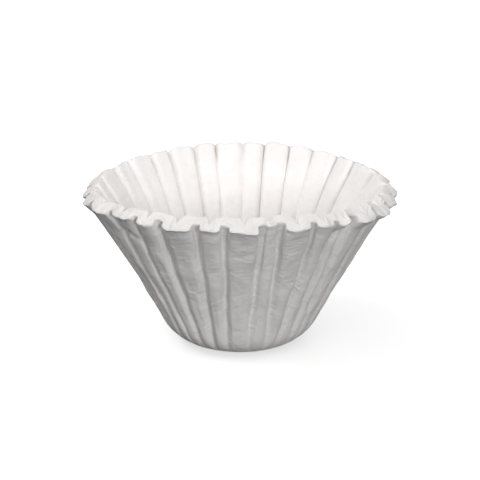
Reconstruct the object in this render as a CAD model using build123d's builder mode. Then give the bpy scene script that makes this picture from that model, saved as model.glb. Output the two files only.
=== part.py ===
"""A paper coffee filter: the flat-bottomed, fluted basket kind that large brewers take.

It is one round sheet of paper, pressed over a die. The middle stays flat and is what the filter
stands on. A large soft corner turns it up into a wall that flares a little more towards the rim,
and the spare paper of the wall is taken up by radial flutes. They start from nothing where the
corner ends and are deepest at the rim, where each lobe and each fold is about half a circle.
The cut edge is square to the flaring wall, so it is lower on the lobes, which stand further
out, than on the folds between them.

The origin is the middle of the underside, and +Z is the axis of the flutes. Millimetres.
"""

from build123d import *
import math
import os

# Driving dimensions
rim_diameter = 247.0  # over the lobes, at their cut edge
rim_height = 124.0  # from the underside to the cut edge of the lobes
base_diameter = 58.0  # the part of the sheet that lies flat
corner_radius = 37.0  # outside radius of the turn from the base to the wall
wall_lean = 27.0  # degrees from upright where the corner ends
flute_count = 30
flute_depth = 10.5  # from lobe to fold, measured level at the height of the rim
paper = 0.3  # bulk thickness of the creped sheet
wall_section_count = 4  # sections that the wall is lofted through

# The wall is made this far past the rim, because the cut edge is higher on the folds
trim_margin = flute_depth
half_flute = 180 / flute_count


# Half section of the outer face through the tops of the lobes, first the corner, then the wall
with BuildLine(Plane.XZ) as corner_profile:
    CenterArc((base_diameter / 2, corner_radius), corner_radius, -90, 90 - wall_lean)
corner_end = corner_profile.line @ 1
corner_way = corner_profile.line % 1

with BuildLine(Plane.XZ) as wall_profile:
    wall_arc = TangentArc(
        (corner_end.X, corner_end.Z),
        (rim_diameter / 2, rim_height),
        tangent=(corner_way.X, corner_way.Z),
    )
    rim_point = wall_arc @ 1
    rim_way = wall_arc % 1
    margin_end = rim_point + rim_way * trim_margin
    Line((rim_point.X, rim_point.Z), (margin_end.X, margin_end.Z))


def fluted_section(station, inset):
    """Level section of the wall's filled shape, its outline an arc for each lobe and each fold.

    station is the share of the wall's profile that lies below. inset moves the outline into the
    paper, square to its face, so 0 gives the outer face and the paper's thickness the inner one.
    """
    point = wall_profile.line @ station
    way = wall_profile.line % station
    height = point.Z + inset * way.X
    depth = flute_depth * (point.Z - corner_end.Z) / (rim_height - corner_end.Z)
    middle = point.X - depth / 2
    steepness = 2 * math.atan2(depth, middle * math.radians(half_flute))
    joint_radius = middle - inset * way.Z * math.cos(steepness)
    joint_shift = inset * math.sin(steepness)

    def joint(index):
        side = 1 if index % 2 == 0 else -1
        corner = Vector(joint_radius, side * joint_shift, height)
        return corner.rotate(Axis.Z, index * half_flute)

    def crest(index):
        side = 1 if index % 2 == 0 else -1
        top = Vector(middle + side * depth / 2 - inset * way.Z, 0, height)
        return top.rotate(Axis.Z, (index + 0.5) * half_flute)

    arcs = [
        Edge.make_three_point_arc(joint(index), crest(index), joint(index + 1))
        for index in range(2 * flute_count)
    ]
    return Face(Wire(arcs))


def filled_cup(inset):
    """The whole cup as a filled solid, its face moved by inset into the paper."""
    with BuildPart() as cup:
        with BuildSketch(Plane.XZ):
            with BuildLine():
                corner = CenterArc(
                    (base_diameter / 2, corner_radius),
                    corner_radius - inset,
                    -90,
                    90 - wall_lean,
                )
                bottom = corner @ 0
                top = corner @ 1
                Polyline(bottom, (0, bottom.Y), (0, top.Y), top)
            make_face()
        revolve(axis=Axis.Z)
        stations = [index / (wall_section_count - 1) for index in range(wall_section_count)]
        loft([fluted_section(station, inset) for station in stations])
    return cup.part


outer_shape = filled_cup(0)
inner_shape = filled_cup(paper)

with BuildPart() as coffee_filter:
    add(outer_shape)
    add(inner_shape, mode=Mode.SUBTRACT)
    # The cut edge: what stands past a cone square to the wall at the rim is taken off
    outward = Vector(rim_way.Z, 0, -rim_way.X)
    cut_outside = rim_point + outward * 2 * trim_margin
    cut_inside = rim_point - outward * 2 * trim_margin
    cut_top = margin_end.Z + trim_margin
    with BuildSketch(Plane.XZ):
        with BuildLine():
            Polyline(
                (cut_inside.X, cut_inside.Z),
                (cut_outside.X, cut_outside.Z),
                (cut_outside.X, cut_top),
                (cut_inside.X, cut_top),
                close=True,
            )
        make_face()
    revolve(axis=Axis.Z, mode=Mode.SUBTRACT)
coffee_filter.part.label = "coffee_filter"

os.makedirs("parts", exist_ok=True)
export_step(coffee_filter.part, "parts/coffee_filter.step")
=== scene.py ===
"""A paper coffee filter: one round sheet of white crepe paper, pressed into a fluted cup.

The sheet is laid out as rings and columns and pressed over its die ring by ring. Round each ring
the paper runs over a lobe, down into a fold and up the next lobe. The inner face follows at the
paper's soft thickness, and the cut edge closes the two.

Azimuths are degrees round the cup from its front, which faces -Y, towards +X. "In" is square to
the wall, into the cup. Rho is the distance from the middle of the flat sheet, and share is 0 at
the foot of the wall and 1 at the rim.
"""

import math

import bpy
import numpy as np
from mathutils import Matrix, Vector


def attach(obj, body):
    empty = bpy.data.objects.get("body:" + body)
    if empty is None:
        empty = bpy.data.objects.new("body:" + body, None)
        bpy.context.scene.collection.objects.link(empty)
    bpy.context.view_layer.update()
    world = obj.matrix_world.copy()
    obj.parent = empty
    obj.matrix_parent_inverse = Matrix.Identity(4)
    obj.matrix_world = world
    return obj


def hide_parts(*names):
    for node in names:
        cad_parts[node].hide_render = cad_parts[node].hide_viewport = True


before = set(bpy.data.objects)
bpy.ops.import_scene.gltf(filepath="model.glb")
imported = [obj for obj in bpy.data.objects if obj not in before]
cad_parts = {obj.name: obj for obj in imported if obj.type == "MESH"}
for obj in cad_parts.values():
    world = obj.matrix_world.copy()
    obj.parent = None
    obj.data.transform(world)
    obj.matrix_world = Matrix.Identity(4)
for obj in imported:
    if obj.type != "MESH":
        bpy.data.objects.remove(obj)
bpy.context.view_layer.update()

MM = 0.001  # the shapes are worked out in millimetres

# The sheet and its die
FLAT_RADIUS = 190.5  # the round sheet before it is pressed
BASE_RADIUS = 29.0  # the middle that stays flat
CORNER_RADIUS = 37.0  # the soft turn from the base to the wall
LEAN_LOW = 26.5  # degrees from upright at the foot of the wall
LEAN_HIGH = 34.5  # and at the rim
CORNER_END = BASE_RADIUS + CORNER_RADIUS * math.radians(90 - LEAN_LOW)
FLUTES_START = BASE_RADIUS + (CORNER_END - BASE_RADIUS) * 0.45

# The folds between the lobes, set unevenly, as fingers leave them:
# azimuth at the rim, half way down and at the foot, the gap between its lobes at the rim,
# its depth at the rim, and its depth at the foot
FOLDS = [
    (-66.5, -63, -62, 3.0, 5.5, 1.2),
    (-52, -50, -50, 2.8, 6.0, 1.2),
    (-38.5, -41, -41, 2.4, 6.4, 1.6),
    (-29, -30.5, -31, 3.8, 7.8, 2.0),
    (-15, -17, -20.5, 3.6, 7.6, 3.2),
    (-5, -7, -9.5, 4.2, 7.4, 3.2),
    (8, 7.5, 6.5, 4.6, 8.0, 2.6),
    (14, 16.5, 20, 4.2, 8.2, 3.2),
    (26, 29, 29, 2.8, 7.4, 2.2),
    (35.5, 38, 40, 2.4, 7.0, 2.0),
    (43.5, 44.5, 49, 8.0, 7.5, 1.4),
    (56.5, 58, 59, 3.5, 8.0, 1.2),
    (67, 70, 71, 3.5, 8.0, 1.4),
    (82, 84, 85, 3.7, 7.3, 1.8),
    (99, 99, 98, 3.2, 7.3, 1.8),
    (118, 117, 116, 3.7, 7.3, 2.0),
    (129, 129.5, 129, 3.2, 7.3, 2.2),
    (141, 140.5, 141, 3.7, 6.8, 2.2),
    (154, 152, 152, 4.2, 7.3, 2.4),
    (164.5, 163, 163, 3.2, 7.3, 2.2),
    (174, 174, 175, 3.7, 6.8, 2.4),
    (184.5, 185, 187, 3.7, 7.3, 2.6),
    (195, 196, 197, 3.2, 7.3, 2.2),
    (205.5, 207, 209, 3.7, 6.8, 2.4),
    (216.5, 217, 218, 3.2, 7.3, 2.2),
    (228, 228, 229, 3.7, 7.3, 2.0),
    (239.5, 240, 241, 3.2, 7.3, 2.2),
    (253, 254, 255, 3.7, 7.3, 1.8),
    (267, 268, 270, 3.2, 7.3, 1.8),
    (280, 284, 284, 3.7, 6.8, 1.6),
]  # fmt: skip

# Lobes that stand in from the rest, or out where the number is negative, by the fold on their
# left: how far at the rim, a little way below it and half way down, and how much further out
# their right shoulder stands at the rim
LOBES = {
    1: (1.5, 1.0, 0.0, 2.0),
    3: (1.0, 0.3, 0.0, 1.0),
    4: (1.2, 0.8, 0.3, 0.5),
    5: (0.0, 0.0, 0.0, 3.5),
    6: (6.0, 4.5, 1.0, 0.0),
    7: (0.8, 0.5, 0.3, -1.5),
    8: (1.5, 1.2, 0.5, 0.0),
    9: (1.0, 5.0, 0.8, 0.5),
    10: (-1.0, 2.0, 0.0, -1.5),
    11: (-1.5, 3.5, 0.5, 1.0),
    12: (0.0, 2.2, 0.5, 0.0),
    0: (-0.5, 0.8, 0.3, 0.5),
    29: (-0.5, 0.8, 0.3, 1.0),
    14: (0.5, 1.0, 0.5, 1.5),
    17: (0.5, 0.0, 0.5, -1.5),
    21: (1.2, 0.5, 0.5, 1.5),
    25: (1.0, 1.5, 0.5, -1.5),
}
LOBE_STATIONS = (0, 0.5, 0.89, 0.96, 1)  # shares of the wall where a lobe's places are given
LOBE_TILT_STARTS = 0.3  # share of the wall where the shoulders begin to differ
LOBE_CROWN = 2.8  # how far the lobes fall away towards the folds
LEAST_LOBE = 1.5  # the narrowest that a lobe gets

GAP_LOW = 5.2  # the gap between two lobes below the rim
GAP_UNEVEN = 1.3
GAP_CHANGES = 0.6  # share of the wall where the gaps begin to change to those of the rim
DEPTH_GROWTH = 1.3  # over 1, the folds deepen fastest at the foot
WANDER = (0.5, 30, 22, 8)  # how the folds wander, in degrees, in the terms given below
LEAST_DEPTH = 0.01
LEAST_FLOOR = 0.4  # half the narrowest floor of a fold
STEEP_FOOT = 36.0  # how steeply the sides of the folds stand, in degrees, at the foot
STEEP_RIM = 102.0  # and at the rim, where they lean over the fold
HALF_DEPTH = 4.0  # of the folds at the rim: the flutes' widths are measured so far in
# How softly the paper turns into a fold: at the foot, and what half way up and the rim add
SOFT_FOOT, SOFT_MIDDLE, SOFT_RIM = 1.0, 0.7, 1.0

# The paper's soft thickness on the base, and what the wall and the rim add
THICK_BASE, THICK_WALL, THICK_RIM = 1.0, 0.8, 4.6

# The inside: pillows over the folds, parted by slits
PILLOW_CROWN = 1.6  # how far the pillows fall away towards the slits
PILLOW_FINE = 160  # steps worked out in each half pillow
PILLOW_IN = 8.0  # how far in from the lobes the pillows stand at the rim
SLIT_OFF_MIDDLE = 0.07  # how far off the middle of its flute a slit may lie
SLIT_DEPTH, SLIT_UNEVEN, SLIT_RIM = 0.34, 0.20, 0.85  # shares of the fold's depth
SLIT_LEAST, SLIT_WIDTH = 0.7, 0.9  # half the width of a slit at the foot, and what the wall adds
SLIT_SHARPNESS = 1.4

# The cut edge
RIM_SAG = 5.0  # how much lower the rim hangs at the two sides
SQUEEZE_LEFT, SQUEEZE_RIGHT = 3.0, 1.0  # how far the rim is pressed in at the two sides
RIM_ROUND = 1.3  # how far the soft cut edge rounds over
RIM_SQUARE = 2.6  # 2 is a half round, and more is squarer
LIP = 1.3  # how far the edge flares out, over the last few millimetres
LIP_LENGTH = 5.0
PLIES = 4  # that the edge shows
PLY_GROOVE = 0.7
EDGE_LENGTH = 7.0  # from face to face over the edge, for the grain of the paper
LIFT, LIFT_AZIMUTH, LIFT_SPREAD = 3.0, -57, 20  # the edge stands high at the front left

# Wear and unevenness: how high the hills are in millimetres, how many go round the cup, how many
# millimetres lie from hill to hill up the sheet, and their seed
BROAD = (0.55, 40, 34, 1)
SMALL = (0.5, 90, 14, 2)
WORN = (1.0, 37, 26, 3)  # where the crepe shows
CREPE = (0.22, 170, 5.0, 4)
STREAKS = (0.38, 150, 45, 11)
CRUSHED = (0.7, 90, 8, 10)  # by handling, near the rim
RAGGED = ((0.9, 31, 40, 5), (0.8, 97, 40, 6), (0.6, 220, 40, 7))  # the cut edge
PLY_GAPS = (0.5, 60, 8, 9)  # where the plies part
INNER_WEAR = 0.5  # share of the wear that the inner face has
INNER_TURN = 60  # degrees that it is turned by, so that it differs from the outer face's

# Creases pressed in by hand: azimuth and distance of the two ends, width and depth
CREASES = [
    (-13, 143, -9, 145, 1.6, 0.8),
    (-27, 111, -23, 112, 1.6, 0.8),
    (-40, 137, -36.5, 137.5, 1.5, 0.7),
    (-5, 77, -0.5, 79, 1.6, 0.7),
    (-1, 171, 3, 176, 1.8, 0.6),
    (-2, 160, 3.5, 165, 1.8, 0.6),
    (-1, 128, 4, 127, 1.6, 0.5),
    (-1, 119, 4.5, 121, 1.8, 0.5),
    (18, 177, 24, 179, 1.6, 0.7),
    (28, 180, 32, 180, 1.6, 0.6),
    (-54, 168, -46, 173, 2.6, 1.6),
    (-46, 173, -41, 167, 2.6, 1.6),
    (41.5, 180, 37, 165, 2.8, 2.2),
    (20, 150, 24, 153, 1.6, 0.5),
    (11, 128, 14, 130, 1.5, 0.5),
    (-24, 160, -20, 158, 1.6, 0.5),
    (150, 150, 158, 153, 1.8, 0.7),
    (200, 120, 206, 123, 1.8, 0.7),
    (232, 165, 226, 160, 2.0, 0.9),
    (92, 140, 86, 144, 1.8, 0.7),
    (276, 150, 270, 155, 2.0, 0.9),
    (112, 168, 118, 160, 2.0, 1.0),
]  # fmt: skip
DEGREE_WIDTH = 1.9  # millimetres round the wall in a degree, about half way up

# The mesh
COLUMNS = 28  # in each flute
FINE = 8  # steps worked out in each column
PROFILE_STEPS = 4000
BASE_RINGS = (0.0, 12.0, 22.0)
CORNER_RINGS = 10
OUTER_RINGS, INNER_RINGS = 50, 24  # on the wall
EDGE_RINGS = 13

# The lamps: azimuth and height in degrees, strength, and how wide the light is in degrees
LAMPS = [
    (22, 14, 1.22, 14),  # low from the right, for the outside
    (-20, 5, 0.62, 50),  # broad and low from the left
    (-84, 58, 1.10, 40),  # high from the left, for the inside
    (178, 20, 0.4, 40),  # weak from behind
]

# The camera
VIEW_MIDDLE = (0.0002, 0, 0.0796)
VIEW_DISTANCE = 1.10
VIEW_HEIGHT = 17.6  # degrees above level
VIEW_WIDTH = 375.36  # millimetres of the scene across the view, at the cup
SENSOR_WIDTH = 36


def smooth(x):
    """0 below 0, 1 above 1, and a soft step between."""
    x = np.clip(x, 0, 1)
    return x * x * (3 - 2 * x)


def wall_share(rho):
    """0 at the foot of the wall and 1 at the rim."""
    return np.clip((rho - CORNER_END) / (FLAT_RADIUS - CORNER_END), 0, 1)


def turn_from(start, azimuth):
    """Degrees from one azimuth to another, the short way round."""
    return (azimuth - start + 180) % 360 - 180


def next_flute(azimuth):
    """The azimuth of the next fold, for each fold."""
    return np.concatenate([azimuth[:, 1:], azimuth[:, :1] + 360], axis=1)


def ripple(azimuth, rho, hills):
    """Soft seeded hills, as high above and below nothing as the first number says."""
    height, around, apart, seed = hills
    rows = int(500 / apart) + 3
    peaks = np.random.default_rng(seed).uniform(-1, 1, (rows, around))
    across, up = azimuth / 360 * around, rho / apart
    column, row = np.floor(across).astype(int), np.floor(up).astype(int)
    x, y = smooth(across - column), smooth(up - row)
    left, right = column % around, (column + 1) % around
    low = peaks[row, left] * (1 - x) + peaks[row, right] * x
    high = peaks[row + 1, left] * (1 - x) + peaks[row + 1, right] * x
    return height * (low * (1 - y) + high * y)


def crumple(azimuth, rho):
    """How far the hand-worn paper stands in or out of its pressed shape."""
    share = wall_share(rho)
    rho = rho + 0 * azimuth
    amount = ripple(azimuth, rho, BROAD) + ripple(azimuth, rho, SMALL)
    amount = amount + ripple(azimuth, rho, CREPE) * smooth(0.5 + ripple(azimuth, rho, WORN))
    amount = amount + ripple(azimuth, rho, STREAKS)
    amount = amount + ripple(azimuth, rho, CRUSHED) * smooth((share - 0.86) * 8)
    amount = amount * smooth(share * 4 + 0.1) * smooth(rho / 40)
    for start, low, end, high, width, depth in CREASES:
        dx, dy = (end - start) * DEGREE_WIDTH, high - low
        x, y = turn_from(start, azimuth) * DEGREE_WIDTH, rho - low
        along = np.clip((x * dx + y * dy) / (dx * dx + dy * dy), 0, 1)
        away = np.hypot(x - along * dx, y - along * dy) / width
        fade = 0.35 + 0.65 * np.sin(np.pi * along) ** 0.5
        amount = amount + depth * np.exp(-away ** 2) * fade
    return amount


def ragged(azimuth):
    """How far the cut edge runs past its even line, or short of it."""
    amount = LIFT * np.exp(-(turn_from(LIFT_AZIMUTH, azimuth) / LIFT_SPREAD) ** 2)
    for hills in RAGGED:
        amount = amount + ripple(azimuth, 0 * azimuth + 1, hills)
    return amount


def die_profile(rho):
    """Radius, height and lean of the die through the tops of the lobes."""
    fine = np.linspace(0, FLAT_RADIUS, PROFILE_STEPS)
    lean = 90 - np.degrees(np.clip((fine - BASE_RADIUS) / CORNER_RADIUS, 0, None))
    wall = LEAN_LOW + (LEAN_HIGH - LEAN_LOW) * wall_share(fine)
    lean = np.where(fine > CORNER_END, wall, lean)
    step = fine[1] - fine[0]
    middle = np.radians((lean[1:] + lean[:-1]) / 2)
    radius = np.concatenate([[0], np.cumsum(np.sin(middle)) * step])
    height = np.concatenate([[0], np.cumsum(np.cos(middle)) * step])
    return (
        np.interp(rho, fine, radius),
        np.interp(rho, fine, height),
        np.radians(np.interp(rho, fine, lean)),
    )


def fold_table(rho):
    """Azimuth, gap between the lobes and depth of each fold, rings by folds."""
    share = wall_share(rho)[:, None]
    rim, middle, foot, gap, depth_rim, depth_foot = np.array(FOLDS).T
    number = np.arange(len(FOLDS))
    through = (1 - share) * (1 - 2 * share) * foot + 4 * share * (1 - share) * middle
    azimuth = through + share * (2 * share - 1) * rim
    wander = ripple(number * 360 / len(FOLDS) + 0 * azimuth, rho[:, None], WANDER)
    azimuth = azimuth + wander * smooth(share * 3) * smooth((1 - share) * 6)
    low_gap = GAP_LOW + GAP_UNEVEN * np.sin(2.4 * number)
    gap = low_gap + (gap - low_gap) * smooth((share - GAP_CHANGES) / (1 - GAP_CHANGES))
    depth = depth_foot + (depth_rim - depth_foot) * (1 - (1 - share) ** DEPTH_GROWTH)
    started = smooth((rho[:, None] - FLUTES_START) / (CORNER_END - FLUTES_START))
    return azimuth, gap, depth * started


def lobe_table(rho):
    """How far in each lobe stands, and the extra at its right shoulder, rings by lobes."""
    share = wall_share(rho)
    sunk = np.zeros((len(rho), len(FOLDS)))
    tilt = np.zeros_like(sunk)
    turning = smooth((share - LOBE_TILT_STARTS) / (1 - LOBE_TILT_STARTS))
    for lobe, (rim, below, middle, turned) in LOBES.items():
        sunk[:, lobe] = np.interp(share, LOBE_STATIONS, [0, middle, below, rim, rim])
        tilt[:, lobe] = turned * turning
    return sunk, tilt


def flute_outline(width, left, right, steepness, softness):
    """Outline of one flute in fine steps, from the middle of a fold to the middle of the next.

    Each of left and right is a fold's gap and depth. A heading climbs one side of the lobe, runs
    over its top and drops down the other. Returns the way along, the way in from the lobe's top
    and how much of the top each point shares.
    """
    (gap_left, deep_left), (gap_right, deep_right) = left, right
    side_left = np.maximum(deep_left, LEAST_DEPTH) / np.sin(steepness)
    side_right = np.maximum(deep_right, LEAST_DEPTH) / np.sin(steepness)
    floor_left = np.maximum(gap_left / 2 - side_left * np.cos(steepness), LEAST_FLOOR)
    floor_right = np.maximum(gap_right / 2 - side_right * np.cos(steepness), LEAST_FLOOR)
    lobe = width - floor_left - floor_right - (side_left + side_right) * np.cos(steepness)
    lobe = np.maximum(lobe, LEAST_LOBE)
    starts = np.cumsum([floor_left, side_left, lobe, side_right], axis=0)
    length = starts[-1] + floor_right
    steps = COLUMNS * FINE
    along = np.linspace(0, 1, steps + 1)[:, None, None] * length
    turn = [0.5 + 0.5 * np.tanh((along - start) / softness) for start in starts]
    heading = steepness * (turn[0] - turn[1] - turn[2] + turn[3])
    pace = length / steps
    middle = (heading[1:] + heading[:-1]) / 2
    zero = np.zeros_like(along[:1])
    forth = np.concatenate([zero, np.cumsum(np.cos(middle) * pace, axis=0)])
    out = np.concatenate([zero, np.cumsum(np.sin(middle) * pace, axis=0)])
    forth = forth / forth[-1:]
    top = out.max(axis=0, keepdims=True)
    before = np.arange(steps + 1)[:, None, None] <= out.argmax(axis=0)[None]
    drop_left = (top - out) / np.maximum(top, 1e-3)
    drop_right = (top - out) / np.maximum(top - out[-1:], 1e-3)
    drop = np.where(before, drop_left * deep_left, drop_right * deep_right)
    on_top = 1 - np.where(before, drop_left, drop_right)
    return forth, drop, on_top


def outer_curves(rho):
    """Azimuth and way in of the outer face, rings by flutes by fine steps."""
    radius, _, _ = die_profile(rho)
    share = wall_share(rho)[:, None]
    azimuth, gap, depth = fold_table(rho)
    sunk, tilt = lobe_table(rho)
    after = next_flute(azimuth)
    middle = np.maximum(radius[:, None] - HALF_DEPTH * share, 0.1)
    width = np.radians(after - azimuth) * middle
    steepness = np.radians(STEEP_FOOT + (STEEP_RIM - STEEP_FOOT) * share) + 0 * width
    softness = SOFT_FOOT + SOFT_MIDDLE * np.sin(np.pi * share)
    softness = softness + SOFT_RIM * smooth((share - 0.8) * 5)
    right = np.roll(gap, -1, axis=1), np.roll(depth, -1, axis=1)
    outline = flute_outline(width, (gap, depth), right, steepness, softness)
    forth, drop, on_top = (part.transpose(1, 2, 0) for part in outline)
    crown = LOBE_CROWN * (2 * forth - 1) ** 2 * share[:, :, None]
    way_in = drop + on_top * (sunk[:, :, None] - tilt[:, :, None] * (forth - 0.5) + crown)
    turned = azimuth[:, :, None] + (after - azimuth)[:, :, None] * forth
    return turned, way_in


def paper_thickness(rho):
    """The soft thickness of the paper, from the base to the swollen rim."""
    wall = THICK_WALL * smooth((rho - BASE_RADIUS) / 40)
    return THICK_BASE + wall + THICK_RIM * smooth(wall_share(rho) / 0.75)


def even_steps(fine, face, reach):
    """Points evenly along each finely drawn half pillow, half as many as a flute has columns."""
    run = np.hypot(np.diff(np.radians(fine), axis=2) * reach, np.diff(face, axis=2))
    walk = np.concatenate([np.zeros_like(run[:, :, :1]), np.cumsum(run, axis=2)], axis=2)
    stops = np.linspace(0, 1, COLUMNS // 2 + 1)[:-1]
    places = np.empty(fine.shape[:2] + (len(stops),))
    faces = np.empty_like(places)
    for index in np.ndindex(fine.shape[:2]):
        at = stops * walk[index][-1]
        places[index] = np.interp(at, walk[index], fine[index])
        faces[index] = np.interp(at, walk[index], face[index])
    return places, faces


def inner_curves(rho):
    """Azimuth and way in of the inner face: flat pillows over the folds, parted by closed slits.

    The paper's soft thickness fills the folds' sides, so from inside a lobe is only a slit.
    """
    radius, _, _ = die_profile(rho)
    share = wall_share(rho)[:, None, None]
    azimuth, _, depth = (value[:, :, None] for value in fold_table(rho))
    after = next_flute(azimuth)
    reach = np.maximum(radius[:, None, None] - PILLOW_IN * share, 1)
    level = depth + paper_thickness(rho)[:, None, None]
    level_after = np.roll(level, -1, axis=1)
    between = (level + level_after) / 2
    number = np.arange(len(FOLDS))[None, :, None]
    slit = azimuth + (after - azimuth) * (0.5 + SLIT_OFF_MIDDLE * np.sin(3.1 * number))
    deep = depth * (SLIT_DEPTH + SLIT_UNEVEN * np.sin(1.7 * number + 1))
    deep = deep + (SLIT_RIM * depth - deep) * smooth((share - 0.8) * 5)
    wide = SLIT_WIDTH * smooth(share * 1.5) * (1 + 0.5 * np.sin(2.3 * number))
    wide = SLIT_LEAST + wide
    halves = []
    for start, end, ridge in ((azimuth, slit, level), (slit, after, level_after)):
        fine = start + (end - start) * np.linspace(0, 1, PILLOW_FINE)
        away = np.radians(np.abs(fine - slit)) * reach
        half = np.radians(end - start) * reach
        crown = PILLOW_CROWN * smooth(share * 3) * np.clip(1 - away / half, 0, 1) ** 4
        face = between + (ridge - between) * smooth(away / half) - crown
        face = face - deep * np.exp(-((away / wide) ** SLIT_SHARPNESS))
        halves.append(even_steps(fine, face, reach))
    places, faces = (np.concatenate(pair, axis=2) for pair in zip(*halves))
    return places.reshape(len(rho), -1), faces.reshape(len(rho), -1)


def place_points(rho, azimuth, way_in, extra=0.0):
    """Points of the cup: extra is how far beyond its ring a point stands along the wall."""
    radius, height, lean = (value[:, None] for value in die_profile(rho))
    turn = np.radians(azimuth)
    share = wall_share(rho)[:, None]
    sag = RIM_SAG * share ** 2 * (0.5 - 0.5 * np.cos(2 * turn))
    extra = extra + ragged(azimuth) * smooth((share - 0.75) * 4)
    squeeze = SQUEEZE_LEFT * np.maximum(-np.sin(turn), 0) ** 2
    squeeze = squeeze + SQUEEZE_RIGHT * np.maximum(np.sin(turn), 0) ** 2
    radius = radius - squeeze * share ** 3
    level = radius - way_in * np.cos(lean) + extra * np.sin(lean)
    rise = height + way_in * np.sin(lean) + extra * np.cos(lean) - sag
    return np.stack([level * np.sin(turn), -level * np.cos(turn), rise], axis=-1)


def ring_stations(wall_rings):
    """Rho of each ring, up to where the edge rounds."""
    corner = np.linspace(BASE_RADIUS, CORNER_END, CORNER_RINGS)[:-1]
    wall = np.linspace(CORNER_END, FLAT_RADIUS - RIM_ROUND, wall_rings)
    return np.concatenate([BASE_RINGS, corner, wall])


def sheet_rings():
    """All the rings of points, from the middle of the underside over the edge to the inside.

    Returns the points, their azimuths, and how far each ring lies along the paper.
    """
    rho = ring_stations(OUTER_RINGS)
    azimuth, way_in = (value[:, :, :-1:FINE] for value in outer_curves(rho))
    lip = LIP * smooth((rho - FLAT_RADIUS + LIP_LENGTH) / LIP_LENGTH)[:, None]
    outer_azimuth = azimuth.reshape(len(rho), -1)
    outer_in = way_in.reshape(len(rho), -1) - lip + crumple(outer_azimuth, rho[:, None])
    outer = place_points(rho, outer_azimuth, outer_in)

    inner_rho = ring_stations(INNER_RINGS)
    inner_azimuth, inner_in = inner_curves(inner_rho)
    wear = crumple(inner_azimuth + INNER_TURN, inner_rho[:, None])
    inner_in = inner_in + INNER_WEAR * wear
    inner = place_points(inner_rho, inner_azimuth, inner_in)

    across = np.linspace(0, 1, EDGE_RINGS)[:, None]
    edge_azimuth = outer_azimuth[-1] + (inner_azimuth[-1] - outer_azimuth[-1]) * across
    edge_in = outer_in[-1] + (inner_in[-1] - outer_in[-1]) * across
    bulge = RIM_ROUND * (1 - np.abs(2 * across - 1) ** RIM_SQUARE) ** 0.5
    parted = 0.5 + ripple(edge_azimuth, across * PLIES * PLY_GAPS[2], PLY_GAPS)
    groove = PLY_GROOVE * parted * (0.5 + 0.5 * np.cos(2 * np.pi * PLIES * across))
    bulge = bulge - groove * (bulge > 1)
    edge = place_points(np.full(EDGE_RINGS, rho[-1]), edge_azimuth, edge_in, bulge)

    azimuths = np.concatenate([outer_azimuth, edge_azimuth[1:-1], inner_azimuth[::-1]])
    past = FLAT_RADIUS + across[1:-1, 0] * paper_thickness(rho[-1:])
    lengths = np.concatenate([rho, past, 2 * FLAT_RADIUS + EDGE_LENGTH - inner_rho[::-1]])
    return np.concatenate([outer, edge[1:-1], inner[::-1]]), azimuths, lengths


def make_sheet():
    """The sheet as one closed mesh: a grid, rolled into rings and pressed to its shape."""
    points, azimuths, lengths = sheet_rings()
    rings, columns = points.shape[:2]
    bpy.ops.object.select_all(action="DESELECT")
    bpy.ops.mesh.primitive_grid_add(x_subdivisions=columns, y_subdivisions=rings - 1, size=1)
    sheet = bpy.context.object
    sheet.name = "pressed_sheet"
    mesh = sheet.data
    flat = np.empty(len(mesh.vertices) * 3)
    mesh.vertices.foreach_get("co", flat)
    flat = flat.reshape(-1, 3)
    column = np.rint((flat[:, 0] + 0.5) * columns).astype(int) % columns
    ring = np.rint((flat[:, 1] + 0.5) * (rings - 1)).astype(int)
    mesh.vertices.foreach_set("co", (points[ring, column] * MM).ravel())
    turn = np.radians(azimuths[ring, column])
    place = [CREPE_DRUM * np.cos(turn), CREPE_DRUM * np.sin(turn), lengths[ring]]
    grain = mesh.attributes.new("sheet_place", "FLOAT_VECTOR", "POINT")
    grain.data.foreach_set("vector", (np.stack(place, axis=-1) * MM).astype(np.float32).ravel())
    bpy.ops.object.mode_set(mode="EDIT")
    bpy.ops.mesh.select_all(action="SELECT")
    bpy.ops.mesh.remove_doubles(threshold=1e-6)
    bpy.ops.mesh.normals_make_consistent(inside=False)
    bpy.ops.object.mode_set(mode="OBJECT")
    bpy.ops.object.shade_smooth_by_angle(angle=math.radians(60))
    return sheet


def linear(hex_colour):
    """Linear RGBA of an sRGB hex colour."""
    parts = [int(hex_colour[i : i + 2], 16) / 255 for i in (1, 3, 5)]
    return [p / 12.92 if p <= 0.04045 else ((p + 0.055) / 1.055) ** 2.4 for p in parts] + [1]


def add_node(tree, kind, links=None, inputs=None, **settings):
    """Add a node with its settings and input values; links maps its inputs to what feeds them."""
    node = tree.nodes.new(kind)
    for name, value in settings.items():
        setattr(node, name, value)
    for name, value in (inputs or {}).items():
        node.inputs[name].default_value = value
    for name, source in (links or {}).items():
        tree.links.new(source, node.inputs[name])
    return node


# The paper's grain is drawn as if the sheet were wound on a drum of this radius. It is thinner
# than the cup, which draws the crepe out round the cup.
CREPE_DRUM = 55.0


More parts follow.
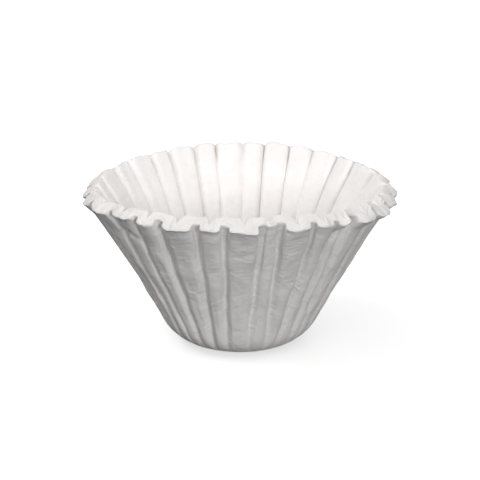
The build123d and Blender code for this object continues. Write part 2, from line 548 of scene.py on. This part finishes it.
def crepe_paper():
    """Bleached filter paper, wet-laid wood pulp creped off its drying drum.

    It is matte and faintly warm. The crepe gives short wavy ridges round the cup, the pulp gives
    felted fibres about a millimetre long, and handling leaves sharp little crumples. The cut edge
    has painted shade: its colour is greyer than the faces', for the shade its torn fibres and
    plies would hold.
    """
    paper = bpy.data.materials.new("bleached_creped_filter_paper")
    paper.use_nodes = True
    tree = paper.node_tree
    shader = tree.nodes["Principled BSDF"]
    shader.inputs["Roughness"].default_value = 0.92
    shader.inputs["Specular IOR Level"].default_value = 0.25
    on_sheet = add_node(tree, "ShaderNodeAttribute", attribute_name="sheet_place")
    on_sheet = on_sheet.outputs["Vector"]
    in_space = add_node(tree, "ShaderNodeTexCoord").outputs["Object"]

    # ridges of the crepe, about 2.5 mm apart up the wall
    crepe = add_node(
        tree, "ShaderNodeTexNoise", {"Vector": on_sheet},
        {"Scale": 400, "Detail": 2.0, "Roughness": 0.5, "Distortion": 0.3},
    )
    # fibres of the pulp, drawn about 1.2 mm coarse so that they show
    fibres = add_node(
        tree, "ShaderNodeTexNoise", {"Vector": in_space},
        {"Scale": 850, "Detail": 3.0, "Roughness": 0.65},
    )
    # crumples, 10 mm apart, sharp on one side
    crumples = add_node(
        tree, "ShaderNodeTexNoise", {"Vector": on_sheet},
        {"Scale": 95, "Detail": 3.0, "Roughness": 0.5, "Distortion": 1.2},
        noise_type="RIDGED_MULTIFRACTAL",
    )
    relief = add_node(
        tree, "ShaderNodeBump", {"Height": crumples.outputs["Fac"]},
        {"Strength": 0.5, "Distance": 1.0 * MM},
    )
    relief = add_node(
        tree, "ShaderNodeBump",
        {"Height": crepe.outputs["Fac"], "Normal": relief.outputs["Normal"]},
        {"Strength": 0.6, "Distance": 1.0 * MM},
    )
    relief = add_node(
        tree, "ShaderNodeBump",
        {"Height": fibres.outputs["Fac"], "Normal": relief.outputs["Normal"]},
        {"Strength": 0.35, "Distance": 0.5 * MM},
    )
    tree.links.new(relief.outputs["Normal"], shader.inputs["Normal"])

    # thick and thin patches of pulp, 25 mm across
    patches = add_node(
        tree, "ShaderNodeTexNoise", {"Vector": in_space},
        {"Scale": 40, "Detail": 3.0, "Roughness": 0.6},
    )
    # painted shade on the cut edge, fading out from 3.5 mm to 5.5 mm either side of its middle
    along = add_node(tree, "ShaderNodeSeparateXYZ", {"Vector": on_sheet}).outputs["Z"]
    past = add_node(
        tree, "ShaderNodeMath", {0: along}, {1: (FLAT_RADIUS + 4) * MM}, operation="SUBTRACT"
    )
    away = add_node(tree, "ShaderNodeMath", {0: past.outputs[0]}, operation="ABSOLUTE")
    face = add_node(
        tree, "ShaderNodeMapRange", {"Value": away.outputs[0]},
        {"From Min": 3.5 * MM, "From Max": 5.5 * MM, "To Min": 0.3},
    )
    # the pulp's patches times the edge mask, so the cut edge falls to the darker stops as painted
    # shade
    shade = add_node(
        tree, "ShaderNodeMath", {0: patches.outputs["Fac"], 1: face.outputs["Result"]},
        operation="MULTIPLY",
    )
    pulp_tone_and_painted_edge_shade = add_node(tree, "ShaderNodeValToRGB", {"Fac": shade.outputs[0]})
    stops = pulp_tone_and_painted_edge_shade.color_ramp.elements
    # the two darkest stops, at 0.06 and 0.15, are mostly the cut edge's painted shade; the
    # lighter ones are the pulp's own uneven tone
    stops[0].position, stops[0].color = 0.06, linear("#d6d3d1")
    stops[1].position, stops[1].color = 0.7, linear("#f6f4f3")
    for stop, colour in ((0.15, "#e8e5e3"), (0.3, "#efecea")):
        stops.new(stop).color = linear(colour)
    tree.links.new(pulp_tone_and_painted_edge_shade.outputs["Color"], shader.inputs["Base Color"])
    return paper


def pale_board():
    """Matte white painted board for the floor, which glows a little to look evenly lit."""
    board = bpy.data.materials.new("pale_floor")
    board.use_nodes = True
    shader = board.node_tree.nodes["Principled BSDF"]
    shader.inputs["Base Color"].default_value = linear("#e1e1e1")
    shader.inputs["Roughness"].default_value = 1
    shader.inputs["Emission Color"].default_value = linear("#ffffff")
    shader.inputs["Emission Strength"].default_value = 0.55
    return board


def studio():
    """A pale floor, a sky that brightens upwards, and soft lamps."""
    bpy.ops.mesh.primitive_plane_add(size=12)
    floor = bpy.context.object
    floor.name = "floor"
    floor.visible_diffuse = False
    floor.data.materials.append(pale_board())

    world = bpy.data.worlds.new("soft_sky")
    bpy.context.scene.world = world
    world.use_nodes = True
    tree = world.node_tree
    background = tree.nodes["Background"]
    background.inputs["Color"].default_value = linear("#ffffff")
    way = add_node(tree, "ShaderNodeTexCoord").outputs["Generated"]
    split = add_node(tree, "ShaderNodeSeparateXYZ", {"Vector": way})
    brightness = add_node(
        tree, "ShaderNodeMapRange", {"Value": split.outputs["Z"]},
        {"From Min": -0.10, "From Max": 0.6, "To Min": 0.01, "To Max": 0.57},
        interpolation_type="SMOOTHSTEP",
    )
    tree.links.new(brightness.outputs["Result"], background.inputs["Strength"])

    for azimuth, height, strength, width in LAMPS:
        bpy.ops.object.light_add(type="SUN")
        lamp = bpy.context.object
        lamp.data.energy = strength
        lamp.data.angle = math.radians(width)
        turn, rise = math.radians(azimuth), math.radians(height)
        towards = Vector((math.sin(turn), -math.cos(turn), math.tan(rise)))
        lamp.rotation_euler = towards.to_track_quat("Z", "Y").to_euler()


def camera():
    """The view from in front and a little above, with a long lens."""
    height = math.radians(VIEW_HEIGHT)
    bpy.ops.object.camera_add()
    view = bpy.context.object
    back = Vector((0, -math.cos(height), math.sin(height)))
    view.location = Vector(VIEW_MIDDLE) + back * VIEW_DISTANCE
    view.rotation_euler = (-back).to_track_quat("-Z", "Y").to_euler()
    view.data.sensor_width = SENSOR_WIDTH
    view.data.lens = SENSOR_WIDTH * VIEW_DISTANCE / (VIEW_WIDTH * MM)
    bpy.context.scene.camera = view


sheet = make_sheet()
sheet.data.materials.append(crepe_paper())
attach(sheet, "root")
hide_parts("coffee_filter")

studio()
camera()
bpy.context.scene.view_settings.view_transform = "Standard"
